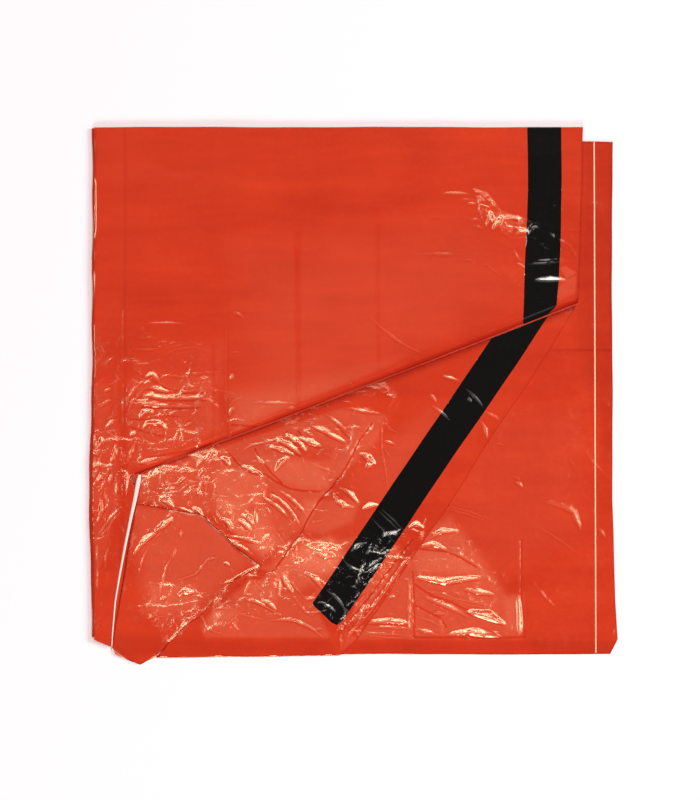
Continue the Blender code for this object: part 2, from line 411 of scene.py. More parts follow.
def eased(sheet, plan, height):
    """The heights drawn halfway to the mean of their neighbours, and how sharply the film folds there.

    The fold is below nought along a crest and above it in a groove, and reaches one where it is sharp.
    """
    ends = np.zeros(len(sheet.data.edges) * 2, int)
    sheet.data.edges.foreach_get("vertices", ends)
    first, second = ends.reshape(-1, 2).T
    count = len(height)
    neighbours = np.maximum(np.bincount(first, minlength=count) + np.bincount(second, minlength=count), 1)

    def mean(first_values, second_values):
        total = np.bincount(first, second_values, count) + np.bincount(second, first_values, count)
        return total / neighbours

    height = (height + mean(height[first], height[second])) / 2
    lengths = np.sum((plan[first] - plan[second]) ** 2, axis=1)
    bend = (mean(height[first], height[second]) - height) / np.maximum(mean(lengths, lengths), 1e-8)
    return height, np.clip(4 * bend / SHARP_BEND, -1, 1)


def keep_values(mesh, **values):
    """Stores values at a mesh's points, for its material."""
    for name, per_point in values.items():
        mesh.attributes.new(name, "FLOAT", "POINT").data.foreach_set("value", per_point)


def lay(sheet, surface, turns=(), border=None):
    """Gives a flat sheet its heights from a surface, turns its edges under, and paints shade along its
    border, where it also fades the crests' painted highlight.
    """
    points = plan_of(sheet)
    placed, read, drop = turned(points, turns)
    film = surface(read)
    height, fold = eased(sheet, points, film.height)
    placed = placed + sway(read)
    done = np.column_stack((placed, np.maximum(height - drop, LOWEST)))
    sheet.data.vertices.foreach_set("co", done.ravel())
    sheet.data.update()
    if border is not None:
        inside = depth(points, border)
        film.shade += BORDER_SHADE * np.clip(1 - inside / BORDER_WIDTH, 0, 1)
        fold = np.where(fold < 0, fold * smooth(inside / (3 * BORDER_WIDTH)), fold)
    keep_values(sheet.data, crush=film.crush, fold=fold, shade=film.shade)


def face_middles(sheet):
    """Where the middles of a sheet's faces lie, seen from above."""
    flat = np.zeros(len(sheet.data.polygons) * 3)
    sheet.data.polygons.foreach_get("center", flat)
    return flat.reshape(-1, 3)[:, :2]


def printed(name, sheet, middles, outline, lift):
    """A thin layer on a film: the film's own faces inside an outline, lifted off it."""
    mesh = sheet.data
    chosen = np.flatnonzero(depth(middles, outline) > 0)
    faces = [list(mesh.polygons[i].vertices) for i in chosen]
    used = sorted({point for face in faces for point in face})
    order = {point: i for i, point in enumerate(used)}
    places = [mesh.vertices[i].co + mesh.vertices[i].normal * lift for i in used]
    layer = bpy.data.meshes.new(name)
    layer.from_pydata(places, [], [[order[point] for point in face] for face in faces])
    layer.shade_smooth()
    for value in ("crush", "fold"):
        kept = np.zeros(len(mesh.vertices))
        mesh.attributes[value].data.foreach_get("value", kept)
        keep_values(layer, **{value: kept[used]})
    piece = bpy.data.objects.new(name, layer)
    bpy.context.scene.collection.objects.link(piece)
    return piece


STRIP_CRUSH = 0.15


def strip(name, rows):
    """A skin over rows of points, one row after another."""
    rows = np.array(rows)
    count, length = rows.shape[:2]
    skin = bpy.data.meshes.new(name)
    faces = [(i * length + j, i * length + j + 1, (i + 1) * length + j + 1, (i + 1) * length + j)
             for i in range(count - 1) for j in range(length - 1)]
    skin.from_pydata(rows.reshape(-1, 3), [], faces)
    skin.shade_smooth()
    keep_values(skin, crush=np.full(count * length, STRIP_CRUSH))
    piece = bpy.data.objects.new(name, skin)
    bpy.context.scene.collection.objects.link(piece)
    return piece


# Outlines

# The centre fold's place across, the bevel down to the lip, and the radii of the film's turns
FOLD = 94.4
LIP_BEVEL, LIP_SLOPE = 9.5 * MM, 0.4
LIP_TURN, SIDE_TURN = 0.15 * MM, 1.0 * MM
LIP_HEAD = (578, 303)
LIP_TAIL = (140, 473)
CREASE_HEEL = (112, 647)
mouth_outline = path((FOLD, 640), CREASE_HEEL, LIP_TAIL, LIP_HEAD, (583, 127), (FOLD, 127))
foot_outline = path(
    (FOLD, 638), (178, 654.5), (610.5, 654.5), (618, 640), (615, 600), (612.8, 500), (612, 200), (613, 142),
    (FOLD, 127.6))
CORNER_HEEL = (157.5, 658.3)
# Where the flap comes out from under the corner, and its other border, from the crease's heel round
corner_over_flap = (
    (137, 503.5), (152.4, 505.6), (169.2, 509), (183.2, 512), (194.5, 513.3), (204.3, 516), (211.3, 524),
    (218.3, 530), (225.4, 535.8), (237, 548), (250.6, 558), (260.4, 566))
flap_over_corner = (
    (169.2, 642.5), (178, 634), (187.5, 624), (200, 616.5), (204.3, 611), (211, 602), (218, 595), (228, 585),
    (238, 578), (247.8, 573.7), (260.4, 566))
mouth_of_corner = (
    (340.3, 655.5), (357, 640), (384, 600.5), (421, 545), (433.4, 527.5), (444, 512.8), (465.5, 479.3),
    (485.6, 445.8), (503, 419), (523, 390.9), (554, 342.7), (577, 304.8))
corner_outline = path(
    (140.6, 474.1), *corner_over_flap, *flap_over_corner[-2::-1], CORNER_HEEL, *mouth_of_corner)
flap_outline = path(
    corner_over_flap[0], CREASE_HEEL, (115.5, 654.4), (131.3, 661.5), (140.4, 665), (148.5, 660.7),
    (157.6, 656.6), *flap_over_corner, *corner_over_flap[-2:0:-1])
band_outline = path(
    (522.5, 340), (556.5, 306), (559, 282), (560.3, 250), (561.3, 190), (561.5, 100),
    (527.3, 100), (527.8, 190), (526, 240), (525, 266), (523.8, 310))
corner_band_outline = path(
    (497.5, 329), (450, 399.6), (382.4, 500), (311.8, 603.9), (320.5, 612), (331.8, 622.8), (336.8, 625),
    (342, 621.7), (411, 520), (450, 461.4), (525.9, 350), (561, 297))
tuck_outline = path((150, 469), (524, 324), (524, 307), (150, 334))

# The marks on each film, as lines and outlines of places. Widths are in pixels, and reaches and blurs in
# millimetres.

# Patches of crushed film: how crushed, the blur of the border in millimetres, and the outline
MOUTH_CRUSH = {
    "left": (0.38, 70, (60, 335, 200, 345, 262, 425, 140, 480, 112, 660, 60, 660)),
    "dense": (0.35, 26, (128, 384, 205, 376, 215, 400, 200, 446, 126, 474)),
    "strip": (0.45, 22, (90, 425, 122, 425, 130, 500, 108, 540, 90, 540)),
    "band": (0.12, 60, (475, 195, 600, 195, 600, 300, 500, 310, 470, 250)),
    "gathered": (0.4, 10, (474, 190, 487, 195, 500, 212, 530, 222, 526, 240, 498, 232, 480, 215)),
    "over_lip": (0.25, 50, (232, 395, 300, 383, 392, 366, 402, 374, 300, 414, 235, 434)),
}

# The folds it was packed with: the painted shade along them, how dark and how wide in millimetres, and their
# raised lines
PACKING_FOLDS = {
    (0.26, 3): ((125, 118, 125.5, 250, 124.5, 400, 124.5, 500, 120, 560),),
    (0.07, 5): ((112, 118, 112.5, 250, 112, 420),),
    (0.1, 3): ((213, 118, 213, 300, 213.5, 436),),
    (0.08, 2): ((227.5, 300, 227.5, 440),),
    (0.12, 4): ((297, 118, 298, 300, 298.5, 405),),
    (0.06, 4): ((378, 118, 378, 300, 379, 372),),
}
PACKING_RIDGES = {
    (2.2, 0.3, 0.05): ((125.5, 118, 125.5, 250, 124.5, 400, 125.5, 530),),
    (3, 0.2, 0.1): ((227, 118, 227.5, 440), (299, 118, 299, 410)),
}

# The upper left, from fine level creases down to crushed film
UPPER_LEFT_GLINTS = {
    1.2: (
        (137, 331, 148, 327), (134, 337, 148, 337.5, 160, 337), (170, 347, 188, 343),
        (162, 356, 175, 349, 195, 346.5, 206, 349.5), (230, 352, 240, 351), (197, 427, 201, 435),
        (175, 375, 200, 373, 225, 371), (298.5, 375, 299, 400), (245, 395, 232, 401, 229, 408)),
    2: (
        (143, 323, 166, 323, 190, 323.5), (135, 348, 147, 349, 160, 348), (160, 376, 172, 375, 190, 377),
        (144, 379, 136, 387, 128, 398, 125.5, 410), (148, 383, 140, 392, 132, 402, 128, 412),
        (150, 417, 160, 415, 175, 416), (248, 401, 272, 402, 302, 402.5), (160, 389, 180, 392, 207, 387),
        (165, 397.5, 185, 398, 209, 396), (165, 405, 185, 406, 200, 405), (150, 459, 170, 457, 200, 450)),
    2.4: (
        (233, 311, 239, 313.5, 246, 317), (173, 448, 176, 440, 180.5, 429),
        (128, 466, 132, 453, 138, 439), (229.5, 418, 231, 411, 235, 406), (230, 438, 233, 431),
        (284, 407, 300, 408), (231, 381, 234, 373), (183, 427, 193, 421)),
    4.5: (
        (149, 385, 158, 388, 170, 391), (145, 393, 156, 396, 170, 398), (140, 402, 155, 404, 172, 405),
        (146, 375, 152, 373, 160, 380), (138, 417, 144, 411, 155, 410),
        (142, 428, 148, 422, 160, 422, 169, 429), (129, 434, 136, 431), (137, 461, 146, 461, 160, 459)),
}

# The strip beside the centre fold
STRIP_GLINTS = {
    1.6: (
        (95, 388, 103, 378, 110, 374), (104, 420, 110, 417, 118, 414), (105, 428, 112, 433, 119, 441),
        (105, 445, 100, 468, 98, 478), (113, 462, 108, 476, 104, 492),
        (110.3, 536, 111.7, 544, 107.5, 556, 106, 567, 97.6, 576), (95.5, 538, 96.5, 574)),
    2.6: (
        (105, 428, 112, 421, 119, 417), (99, 407, 106, 401, 113, 398), (103, 391, 112, 387),
        (111, 486, 115, 472), (126.5, 498, 127.5, 484, 127.5, 470),
        (131, 502, 118.7, 509, 110, 519, 97.6, 537), (126, 506, 113, 520, 99, 539)),
    4: (
        (103, 446, 104, 436), (114, 463, 117, 452, 119, 443), (97, 480, 103, 475, 107, 472),
        (101, 523, 104, 510, 104.5, 497)),
}

# Beside the band and over it
BAND_SIDE_GLINTS = {
    1.3: (
        (474, 195, 480, 197, 485, 203), (483, 201, 485.5, 211, 487, 224),
        (480, 200, 482.5, 212, 484, 226), (455, 199, 478, 199.5), (411, 254, 439, 253.5, 463, 253.2),
        (527, 224, 536, 222, 545, 228), (528, 236, 537, 238), (460, 259, 470, 259, 477, 264),
        (480, 263, 487, 263.5, 491, 267, 503, 276), (557.5, 301, 559, 292, 561, 283)),
    3.2: ((524, 263, 545, 262.2, 567, 260),),
    1.9: (
        (468, 218.5, 482, 219), (472, 224, 485, 228), (500, 216, 507, 219, 513, 222.5, 527, 224),
        (497, 229, 505, 233, 512, 236.5, 520, 237, 526, 235), (541, 244, 546, 247.5, 551, 248.5),
        (514, 249, 517, 256, 522, 261), (527, 261, 545, 260, 567, 259),
        (525, 265, 545, 264.5, 564, 262.5), (560, 243, 568, 248, 574, 253, 578, 260),
        (561, 240, 570, 246, 577, 255), (430, 253.5, 460, 253.5)),
    2.4: (
        (437, 194, 449, 192.6, 473, 193.5), (528, 230, 534, 226.5, 541, 226.5), (466, 203, 477, 203),
        (549, 232, 555, 237), (559, 239, 565, 243), (516, 262, 525, 266)),
    5: ((487, 228, 492, 219, 491, 210), (490, 229, 497, 222, 500, 214), (512, 234, 520, 230, 528, 230)),
}
BAND_FLARE = {
    8: ((531, 277, 548, 277.5, 569, 277),),
}
MIDDLE_GLINTS = {
    2: ((366, 311, 380, 326, 397, 340, 412, 348, 428, 354),),
}

# Painted light on the mouth film: a broad pool over its middle and paler crushed patches, by amount and blur
MOUTH_PAINTED_LIGHT = {
    (-0.17, 220): ((230, 240, 480, 210, 530, 300, 330, 430, 230, 440),),
    (-0.2, 24): ((128, 384, 212, 380, 222, 430, 150, 466, 128, 470),),
    (-0.1, 30): ((130, 340, 225, 345, 225, 385, 130, 385), (230, 392, 300, 395, 232, 436)),
    (-0.18, 12): ((94, 385, 118, 380, 120, 500, 106, 560, 94, 580),),
    (-0.25, 4): ((561, 283, 577, 275, 575, 301, 558, 302), (500, 216, 513, 223, 512, 233, 498, 227)),
    (-0.3, 3): ((560, 268, 566, 266, 577, 273, 567, 279),),
}
MOUTH_CREASES = {
    (0.4, 1.6): (
        (133, 370, 145, 379, 155, 383, 168, 390, 180, 392), (148, 390, 165, 394, 205, 393),
        (140, 398, 170, 401, 205, 401), (142, 407, 170, 409, 200, 408),
        (131, 420, 148, 420, 162, 415, 178, 417), (130, 427, 145, 432, 160, 436, 173, 439),
        (150, 458, 190, 450, 226, 440), (232, 425, 250, 426, 262, 427)),
}
MOUTH_CRUMPLES = (
    ((175, 405, 222, 400, 215, 440, 175, 440), 7, 14, 1.6, 20, 60, 11),
    ((95, 440, 124, 440, 127, 500, 108, 540, 95, 540), 9, 14, 1.8, 72, 25, 13),
)

FOOT_CRUSH = {
    "open": (0.12, 90, (450, 400, 640, 330, 640, 680, 330, 680, 350, 600)),
    "block": (0.4, 40, (408, 540, 450, 520, 505, 580, 519, 637, 345, 645, 380, 590)),
}
FOOT_TAIL = (178, 654.5, 610.5, 654.5)
FOOT_RIDGE = (545, 498, 566, 505, 575, 510, 583, 529)
# Painted light and shade on the foot film: darker along its right and lower borders, paler over the crushed
# block
FOOT_PAINTED_LIGHT_AND_SHADE = {
    (0.34, 50): ((578, 120, 640, 120, 640, 400, 605, 470, 575, 330),),
    (-0.13, 120): ((470, 400, 590, 400, 590, 540, 480, 600, 420, 560),),
    (0.2, 9): ((330, 641, 620, 641, 620, 660, 330, 660),),
    (0.08, 12): ((530, 632, 620, 632, 620, 660, 530, 660),),
    (-0.3, 24): ((408, 536, 450, 518, 484, 562, 506, 596, 523, 596, 523, 640, 352, 642, 380, 590),),
    (-0.15, 12): ((418, 552, 450, 555, 482, 572, 415, 571), (503, 596, 518, 594, 518, 630, 507, 630)),
}
# Lines of painted shade along two folds of the foot film
FOOT_SHADOWS = {
    (0.3, 2.6): ((540, 350.5, 580, 350, 614, 350.5),),
    (0.1, 2): ((594, 344, 614, 344.5),),
}
FOOT_CREASES = {
    (0.25, 2): ((521.5, 540, 521, 592, 524.5, 636),),
    (0.35, 2): ((412, 637.5, 470, 638, 524, 637),),
    (0.35, 1.6): ((412.5, 572, 414, 605, 414.5, 637), (420, 549.5, 445, 551.5, 458, 557, 476, 567)),
    (0.35, 1.8): ((415, 585, 432, 596, 450, 602, 468, 611),),
    (0.3, 1.8): ((416, 606, 440, 618, 446, 627),),
}

# The block at the lower right, between two upright creases and a level one, and what lies round it
BLOCK_GLINTS = {
    1.4: (
        (447, 505, 470, 511, 495, 520), (446, 507.5, 470, 514, 488, 520.5), (458, 520, 461, 528),
        (420, 589, 440, 595, 470, 604.5, 497, 609), (533, 523, 550, 533, 570, 547, 586, 559),
        (511, 474, 519, 478, 523, 484), (496, 442, 505, 445), (570, 459, 576, 467),
        (361, 634, 385, 637, 411, 638), (584, 448, 593, 462, 609, 479), (511, 622, 512, 632),
        (613.5, 642, 614, 620)),
    2: (
        (440, 536, 448, 545, 458, 552, 470, 560, 482, 568, 492, 572, 500, 571),
        (409, 640, 409.5, 605, 408.5, 573), (529, 575, 536, 585, 545, 597, 561, 612),
        (417, 616, 430, 620, 442, 626), (412, 628, 430, 632, 442, 635), (368, 627, 388, 627, 411, 628.5),
        (361, 633, 380, 633.5, 411, 635), (417, 583, 426, 590, 441, 592.5, 456, 598, 496, 606),
        (580, 273, 591, 280), (595, 264, 600, 272, 608, 278, 612, 286), (595, 525, 602, 532, 607, 540)),
    3.4: (
        (388, 597, 394, 595), (432, 612, 446, 612), (516, 480, 524, 486), (453, 550, 466, 556),
        (421, 594, 434, 600, 455, 609, 472, 617)),
}
WIDE_GLINTS = {
    5: (
        (430, 535, 442, 530, 459, 528.5), (420, 545, 432, 542.5, 448, 548),
        (462, 586, 478, 591, 496, 592), (587, 205, 596, 205, 605, 209)),
}
BLOCK_EDGES = {
    4.5: ((365, 621, 388, 620, 412, 622), (520.5, 637, 520.5, 615, 519, 594)),
}
BLOCK_SHEEN = {
    7: ((411, 574, 445, 580, 486, 574), (445, 632, 470, 630, 506, 634)),
    9: ((466, 607, 487, 613, 508, 621),),
}

CORNER_CRUSH = {
    "upper": (0.42, 30, (150, 470, 385, 385, 400, 400, 330, 540, 268, 575, 135, 500)),
    "lower": (0.42, 30, (258, 560, 300, 540, 400, 530, 380, 600, 345, 640, 160, 640)),
    "by_band": (0.5, 10, (372, 540, 425, 520, 420, 545, 350, 645, 338, 630)),
}
# Where the crushed film glows most
GLOWING = (
    (141, 476, 214, 452, 222, 470, 218, 512, 150, 502),
    (214, 470, 262, 474, 270, 520, 272, 560, 240, 540, 215, 515),
    (246, 580, 300, 540, 350, 545, 320, 600, 260, 620, 205, 632))
CORNER_TAIL = (157, 658, 340, 656)
# Painted light and shade on the corner film: paler where its crushed film glows, darker in the fold at the
# lip's head, in small hollows and along its lower border
CORNER_PAINTED_LIGHT_AND_SHADE = {
    (0.75, 2): ((557, 301, 578, 303, 577, 308, 548.4, 317.5),),
    (-0.3, 14): (
        (140, 478, 250, 436, 340, 408, 385, 415, 378, 440, 335, 480, 300, 530, 262, 556, 215, 515,
         139, 500), (262, 566, 330, 536, 352, 560, 318, 612, 333, 640, 205, 640, 200, 625)),
    (-0.13, 80): (
        (380, 450, 480, 380, 500, 390, 430, 500, 360, 540),
        (330, 470, 440, 400, 420, 450, 380, 500, 345, 550, 300, 560)),
    (-0.24, 14): (
        (213, 478, 225, 465, 240, 470, 262, 476, 266, 485, 262, 503, 240, 508, 220, 508),
        (257, 500, 268, 512, 272, 528, 289, 549, 272, 560, 256, 545),
        (305, 500, 360, 500, 352, 522, 322, 534, 303, 530), (343, 631, 350, 632, 358, 639, 342, 651)),
    (-0.2, 16): (
        (258, 456, 318, 462, 330, 486, 300, 487, 276, 478), (300, 540, 340, 545, 332, 575, 296, 566),
        (207, 616, 213, 609, 232, 608, 238, 614, 222, 627, 209, 626),
        (248, 582, 278, 582, 276, 604, 246, 597)),
    (-0.28, 22): (
        (216, 500, 246, 504, 270, 545, 262, 562, 236, 540),
        (284, 538, 352, 540, 336, 566, 300, 590, 272, 574)),
    (-0.35, 10): ((383, 548, 400, 545, 398, 566, 360, 620, 348, 622),),
    (0.14, 8): (
        (296, 447, 334, 447, 330, 461, 305, 460), (287, 572, 303, 574, 318, 592, 308, 600, 296, 592)),
    (0.3, 6): (
        (232, 588, 258, 568, 268, 572, 260, 581, 248, 578, 240, 590), (234, 537, 255, 540, 250, 545)),
    (0.22, 12): ((150, 638, 330, 638, 340, 660, 150, 660),),
}
CORNER_CREASES = {
    (0.45, 1.7): (
        (227, 451, 238, 463.6, 253, 473.3, 265, 474.3, 276.6, 482, 290, 488.7, 303.6, 490.6, 321, 491.6),
        (255, 449, 261, 460, 272.7, 474, 282, 483), (274, 446, 290, 451, 300, 456),
        (287, 432, 294, 440, 300, 446), (298, 431, 307, 440, 315, 447), (337, 427, 350, 438.6)),
    (0.35, 1.4): ((272, 492, 286, 503, 299, 518),),
    (0.3, 1.4): ((268, 497, 280, 506, 292, 520),),
    (0.6, 2.2): ((338, 479, 330, 490, 318, 502, 308, 519, 302, 532, 290, 548, 273, 571),),
    (0.2, 3): ((372, 424, 360, 440, 349, 462, 341, 477),),
    (0.4, 2.6): ((344, 628, 370, 596, 398, 558, 412, 540),),
}
CORNER_CRUMPLES = (
    ((160, 468, 195, 465, 205, 500, 165, 503), 16, 11, 1.6, 30, 60, 37),
    ((222, 512, 256, 512, 268, 552, 240, 548, 224, 532), 12, 11, 2, 60, 40, 45),
    ((340, 540, 392, 545, 350, 610, 320, 600), 14, 12, 1.6, 20, 60, 38, 1.0),
    ((383, 545, 425, 520, 415, 548, 352, 625, 345, 622), 22, 13, 2, 50, 30, 39),
    ((280, 540, 340, 540, 318, 585, 280, 575), 12, 12, 2, 40, 50, 40),
)

# Under the lip, down to the long creases
UNDER_LIP_GLINTS = {
    1.5: (
        (237, 453, 252, 444.5, 270, 441, 284, 435), (253, 446, 257, 456, 265, 466.5, 272, 471),
        (306, 459, 322, 467, 341, 474), (302, 428, 310, 434, 318, 436)),
    2.4: (
        (344, 406, 361, 410.5, 383, 413.5), (325, 411.5, 334, 419, 350, 432),
        (256, 453, 262, 461, 269, 467)),
    5: (
        (242, 462.5, 252, 468.5, 264, 473.5), (273, 471, 279, 463, 289, 453.5),
        (222, 455, 227, 459, 232, 465), (269, 444, 283, 448, 296, 453), (277, 437, 290, 444, 303, 453),
        (312, 424, 326, 430, 339, 437, 349, 442)),
    6: ((286, 431, 298, 440, 309, 450), (298, 434, 312, 441, 324, 444)),
}

# The fan of creases
FAN_GLINTS = {
    3.4: (
        (278, 488, 290, 496, 303, 508, 309, 515), (268, 492, 280, 498, 292, 510, 302, 526),
        (264, 496, 276, 504, 290, 516, 296, 524)),
    1.4: (
        (256, 520, 256.5, 503, 260, 501), (258, 501, 268, 509, 273.5, 516),
        (272.5, 527, 282, 539, 290, 549)),
}

# Left of the fan
CORNER_LEFT_GLINTS = {
    1.4: (
        (169, 469, 163, 477, 164, 487, 172, 495), (205, 499, 207, 485, 210, 473),
        (211, 510, 217, 520, 225, 533), (215, 508, 215, 489, 213.5, 473), (217, 508, 222, 519, 228, 533),
        (197, 467, 205, 458, 214, 449), (207, 469, 213, 459, 217, 451), (143, 483, 155, 486),
        (177, 494, 192, 481)),
    2.6: (
        (180, 469, 192, 472), (176, 484, 187, 476), (174, 505, 184, 509, 194, 512.5),
        (200, 477, 204, 469), (199.5, 493, 203.5, 482), (196, 467, 201, 460),
        (226, 535, 240, 536.5, 255, 541.5, 270, 544), (238, 544, 246, 549, 254, 555), (256, 549, 268, 546)),
    4.5: (
        (160, 498, 168, 501, 176, 506), (194, 505, 199, 510, 205, 516), (210, 458, 216, 451),
        (261, 542, 267, 532)),
    6: ((224, 516, 230, 522, 234, 531), (240, 517, 247, 523, 254, 530), (243, 512, 250, 517, 256, 523)),
}

# Right of the fan, and the hollow towards the band
HOLLOW_GLINTS = {
    4.5: ((341, 485.5, 350, 492, 361, 503), (334, 491, 338, 500, 346, 505, 357, 506)),
    6: ((361, 507, 369, 504.5, 378, 502), (361, 450, 368, 456, 378, 463), (365, 467, 372, 461)),
    1.4: (
        (382.2, 420, 382, 433, 382.3, 450, 386, 468, 390.5, 499), (384, 448, 388, 453, 392, 459),
        (385, 422, 390, 429, 399, 432.5), (311, 522, 325, 519)),
    2.6: (
        (383, 440, 397, 444), (441, 374.8, 452, 378, 461, 381), (465, 386, 477.6, 399, 485, 408),
        (431, 403.5, 440, 411, 452, 421), (484, 409.6, 501, 419.5), (480, 419, 486, 428, 488, 439),
        (430, 393, 437, 402), (468, 396, 472, 402)),
}

# Below the flap's tip, and round the band's end
BAND_END_GLINTS = {
    8: ((304, 541, 322, 545, 344, 545), (316, 549, 326, 553, 337, 553)),
    5: (
        (293, 559, 304, 559), (305, 570, 314, 576, 325, 588), (283, 572, 287, 582, 295, 592),
        (263, 597, 270, 602, 278, 609), (366, 571, 374, 567, 382, 562), (408, 526, 416, 523, 424, 526),
        (352, 548, 360, 544)),
    1.6: (
        (290, 591, 297.8, 600.6, 305.5, 611, 312, 615, 318, 611), (287, 571, 292, 568.5, 303, 570),
        (288, 577, 298, 589, 306, 598.6), (271, 578, 279.5, 581.5, 278.5, 595, 274.6, 600),
        (253.5, 580, 265, 594), (238, 613, 250, 616, 265, 619),
        (203, 616, 207, 625.7, 215, 631.5, 225, 633.5), (213, 609, 224, 607.5, 233, 608),
        (226, 625, 234, 618, 238, 613), (222, 604, 232, 599.5), (313, 629, 324, 628)),
    3: (
        (244, 597, 248, 588, 253, 580), (244, 598, 257, 601, 268, 606, 283, 615), (305, 599, 315, 596),
        (265, 619, 282, 618, 294, 619, 308, 625, 316, 630, 327, 639), (342, 651, 342.5, 640, 343, 632),
        (325, 587.5, 335, 595, 344, 606, 352, 613), (364, 569, 372, 564, 382, 557),
        (350, 552, 356, 545, 367, 541)),
    1.8: (
        (313, 601.5, 323, 602.5, 332.5, 609, 338, 614),
        (339, 552, 344, 560, 352, 568, 363, 571.6, 374, 572.6), (370, 515.7, 383, 529, 396, 544),
        (377, 508, 390, 521, 402, 533), (380, 506.5, 392, 518, 405, 531), (350, 585, 358, 588)),
}
BESIDE_BAND_GLINTS = {
    3: ((352, 633, 372, 607, 395, 575, 410, 553), (346, 637, 356, 626, 366, 613)),
}

FLAP_CRUSH = {
    "creased": (0.42, 40, (130, 500, 185, 510, 180, 560, 250, 560, 205, 615, 165, 640, 120, 600)),
    "dense": (0.35, 16, (152, 588, 200, 578, 205, 612, 170, 640, 148, 622)),
}
FLAP_TIP = (112.6, 647.5, 131, 661.5, 140, 665, 155, 655.5)
# Painted light and shade on the flap: paler over its middle, darker at its tip
FLAP_PAINTED_LIGHT_AND_SHADE = {
    (-0.3, 50): ((126, 500, 225, 515, 250, 565, 200, 610, 145, 615),),
    (-0.16, 10): ((150, 585, 196, 585, 200, 615, 165, 640, 152, 625),),
    (0.28, 30): ((100, 630, 168, 638, 158, 670, 100, 670),),
}
FLAP_CRUMPLES = (
    ((152, 604, 172, 600, 178, 625, 166, 640, 152, 622), 18, 11, 1.7, 60, 45, 43),
    ((174, 586, 198, 586, 200, 600, 176, 598), 8, 11, 1.8, 20, 40, 46),
    ((132, 545, 168, 515, 172, 522, 138, 555), 8, 14, 1.8, 50, 20, 47),
)
FLAP_GLINTS = {
    1.6: (
        (174, 554, 166.6, 568, 161.8, 585, 160, 599),
        (168.6, 583, 183, 578, 195.6, 573.6, 207, 560, 213, 552), (181, 539, 181.5, 529),
        (205, 560, 218, 556.5), (167.8, 601, 172, 590, 170, 583), (186, 609, 199, 616),
        (174, 635, 178, 627.6, 188, 622, 199, 616.5), (173, 560, 177, 545), (150, 545, 143, 560, 139, 575)),
    3: (
        (224, 561, 231, 565), (159, 599, 167, 596), (132, 556, 138, 547, 146, 539),
        (218, 583.5, 234, 579.5, 246, 571.6, 259, 565), (168, 641, 178, 632, 188, 622, 199, 614)),
    6: ((137, 546, 146, 537, 155, 530), (152, 530, 163, 524, 172, 515), (176, 594, 184, 590, 195, 590)),
}


# Surfaces: each gives the relief of a film at some places, from its level in millimetres

MOUTH_LEVEL, CORNER_LEVEL, FLAP_LEVEL, FOOT_LEVEL = 7.8, 5.4, 5.0, 2.2
# Beside the centre fold the mouth film stays low enough to lie under the foot half once the bag is unfolded
FOLD_CAP, CAP_START, CAP_SLOPE = 8.1 * MM, 5 * MM, 0.2
# The painted shade along the lip, its widths at the tail end and past the middle, and how far the corner
# dips there
LIP_SHADE, LIP_NARROW, LIP_WIDER = 0.95, 3.4 * MM, 7.4 * MM
LIP_DIP, LIP_DIP_REACH = 2.2 * MM, 0.035


def off_line(points, start, end):
    """How far each point lies to the outside of a line of places, and its share along it."""
    start, end = at(*start), at(*end)
    along = (points - start) @ (end - start) / ((end - start) @ (end - start))
    return (points - start) @ outward(start, end), along


def lip_shade(points):
    """The lip's painted shade on both films, which widens from the tail side on."""
    off, along = off_line(points, LIP_TAIL, LIP_HEAD)
    width = LIP_NARROW + LIP_WIDER * smooth(2 * along)
    return LIP_SHADE * np.exp(-((off / width) ** 2)) * ((along > -0.01) & (along < 1 + TURN_OVERRUN))


def mouth_surface(points):
    """The mouth half's upper film, which bevels down to the lip."""
    film = Relief(points, MOUTH_LEVEL)
    film.swell(size=190, height=0.5, seed=3)
    off, along = off_line(points, LIP_TAIL, LIP_HEAD)
    above = smooth(along * 8 + 0.3) * (off < 0.02)
    bevel = np.maximum(LIP_BEVEL - np.maximum(-off, 0), 0)
    film.base -= LIP_SLOPE * (np.sqrt(bevel**2 + CREST**2) - CREST) * above
    film.shade += lip_shade(points)
    patches = film.crushed(0.07, MOUTH_CRUSH)
    # Painted light over the lip
    film.shade -= 0.2 * patches["over_lip"]
    film.facets(patches["left"], size=38, height=1.2, turn=20, seed=5)
    film.facets(np.ones(len(points)), size=85, height=1.0, turn=33, seed=9)
    film.shadows(PACKING_FOLDS)
    for (across, slope, ends), folds in PACKING_RIDGES.items():
        film.pleats(across, *folds, slope=slope, ends=ends)
    film.paint_light_and_shade(MOUTH_PAINTED_LIGHT)
    for groups in (UPPER_LEFT_GLINTS, STRIP_GLINTS, BAND_SIDE_GLINTS, MIDDLE_GLINTS):
        film.glints(groups)
    film.glints(BAND_FLARE, ends=0.9)
    film.creases(MOUTH_CREASES)
    film.crumples(MOUTH_CRUMPLES)
    off_fold = points[:, 0] - at(FOLD, 0)[0]
    highest = FOLD_CAP + CAP_SLOPE * np.maximum(off_fold - CAP_START, 0)
    film.base = np.minimum(film.base, highest)
    film.raised = np.minimum(film.raised, highest - film.base)
    return film


def foot_surface(points):
    """The foot half's upper film, which is crumpled where it lies open at the lower right."""
    film = Relief(points, FOOT_LEVEL)
    patches = film.crushed(0.07, FOOT_CRUSH)
    film.swell(size=160, height=0.6, seed=21, mask=patches["open"])
    film.facets(patches["open"], size=60, height=0.8, turn=15, seed=22)
    film.dips((FOOT_TAIL, 0.9, 8))
    film.shadows(FOOT_SHADOWS)
    film.paint_light_and_shade(FOOT_PAINTED_LIGHT_AND_SHADE)
    film.creases(FOOT_CREASES)
    film.glints(BLOCK_GLINTS)
    film.glints(WIDE_GLINTS)
    film.glints(BLOCK_EDGES, ends=0.3)
    film.glints(BLOCK_SHEEN, back=0.2)
    film.pleats(7, FOOT_RIDGE, slope=0.9)
    return film


